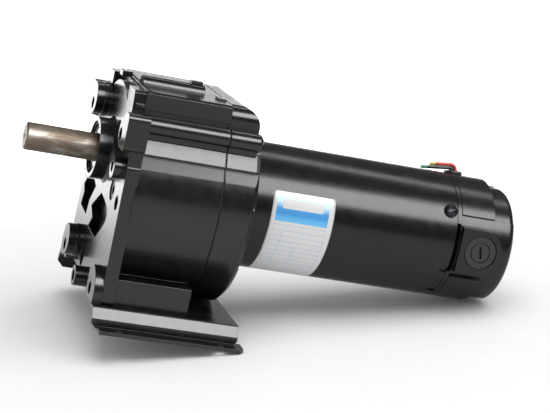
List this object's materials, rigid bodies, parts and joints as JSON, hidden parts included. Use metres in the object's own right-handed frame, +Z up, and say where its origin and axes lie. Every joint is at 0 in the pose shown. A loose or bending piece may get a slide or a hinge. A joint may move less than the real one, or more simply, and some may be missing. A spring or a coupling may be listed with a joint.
{
  "type": "gearmotor",
  "caption": "Right-hand parallel-shaft gearmotor: black cast gearcase on a bent foot plate, round brushed motor at the back, steel output shaft at the front.",
  "frame": {"origin": "on the output shaft axis, in the plane of the front face of the output bearing boss", "axes": "the output shaft points along -X and the motor along +X, +Z is up from the foot plate, +Y is to the left seen from the motor end"},
  "size_m": [0.3528, 0.181, 0.1637],
  "materials": {
    "case_paint": "gloss",
    "tube_paint": "satin",
    "bell_paint": "satin",
    "foot_paint": "gloss",
    "shaft_steel": "ground",
    "bearing_steel": "polished",
    "gear_steel": "hobbed, oiled",
    "bronze": "sintered",
    "gear_composite": "machined",
    "black_oxide": "black oxide",
    "zinc_steel": "zinc",
    "gasket_paper": "matte",
    "magnet": "ceramic",
    "laminations": "stacked",
    "magnet_wire": "enamelled",
    "commutator_copper": "turned",
    "brush_carbon": "carbon",
    "holder_plastic": "moulded",
    "cap_plastic": "moulded",
    "label_foil": "printed foil",
    "grommet_rubber": "matte",
    "green_sleeve": "extruded",
    "yellow_sleeve": "extruded",
    "red_sleeve": "extruded",
    "black_sleeve": "extruded"
  },
  "bodies": {
    "case": {"gear_housing": "case_paint", "rear_cover": "case_paint", "housing_gasket": "gasket_paper", "housing_screws": "black_oxide", "shaft_end_plugs": "black_oxide", "front_bearing_outer": "bearing_steel", "retaining_ring": "black_oxide", "output_rear_bush": "bronze", "idler_bushes": "bronze", "foot_plate": "foot_paint", "foot_screws": "black_oxide", "motor_tube": "tube_paint", "field_magnets": "magnet", "magnet_clips": "zinc_steel", "front_motor_bearing_outer": "bearing_steel", "rear_motor_bearing_outer": "bearing_steel", "wave_washer": "zinc_steel", "end_bell": "bell_paint", "brush_holders": "holder_plastic", "near_brush_spring": "zinc_steel", "far_brush_spring": "zinc_steel", "brush_caps": "cap_plastic", "through_bolts": "black_oxide", "tube_screws": "black_oxide", "nameplate": "label_foil", "lead_grommet": "grommet_rubber", "green_lead": "green_sleeve", "yellow_lead": "yellow_sleeve", "red_lead": "red_sleeve", "black_lead": "black_sleeve"},
    "output": {"output_shaft": "shaft_steel", "output_gear": "gear_steel", "output_gear_key": "gear_steel", "front_bearing_inner": "bearing_steel", "front_bearing_balls": "bearing_steel"},
    "second_idler": {"second_shaft": "gear_steel", "second_gear": "gear_steel"},
    "first_idler": {"first_shaft": "gear_steel", "first_gear": "gear_composite"},
    "armature": {"armature_shaft": "gear_steel", "armature_core": "laminations", "armature_windings": "magnet_wire", "commutator": "commutator_copper", "front_motor_bearing_inner": "bearing_steel", "rear_motor_bearing_inner": "bearing_steel", "motor_bearing_balls": "bearing_steel"},
    "near_brush": {"near_brush": "brush_carbon"},
    "far_brush": {"far_brush": "brush_carbon"}
  },
  "joints": [
    {"name": "output_spin", "type": "hinge", "parent": "case", "child": "output", "pos_m": [0, 0, 0], "axis": [1, 0, 0], "continuous": true},
    {"name": "second_idler_spin", "type": "hinge", "parent": "case", "child": "second_idler", "pos_m": [0, -0.01997, -0.04282], "axis": [1, 0, 0], "continuous": true},
    {"name": "first_idler_spin", "type": "hinge", "parent": "case", "child": "first_idler", "pos_m": [0, 0.01911, -0.04767], "axis": [1, 0, 0], "continuous": true},
    {"name": "armature_spin", "type": "hinge", "parent": "case", "child": "armature", "pos_m": [0, 0, -0.0215], "axis": [1, 0, 0], "continuous": true},
    {"name": "near_brush_slide", "type": "slide", "parent": "case", "child": "near_brush", "axis": [0, -1, 0], "range_m": [0, 0.003], "deforming": ["near_brush_spring"]},
    {"name": "far_brush_slide", "type": "slide", "parent": "case", "child": "far_brush", "axis": [0, 1, 0], "range_m": [0, 0.003], "deforming": ["far_brush_spring"]}
  ],
  "couplings": [
    {"joint": "second_idler_spin", "follows": "output_spin", "ratio": -2.8571},
    {"joint": "first_idler_spin", "follows": "output_spin", "ratio": 10},
    {"joint": "armature_spin", "follows": "output_spin", "ratio": -50}
  ]
}
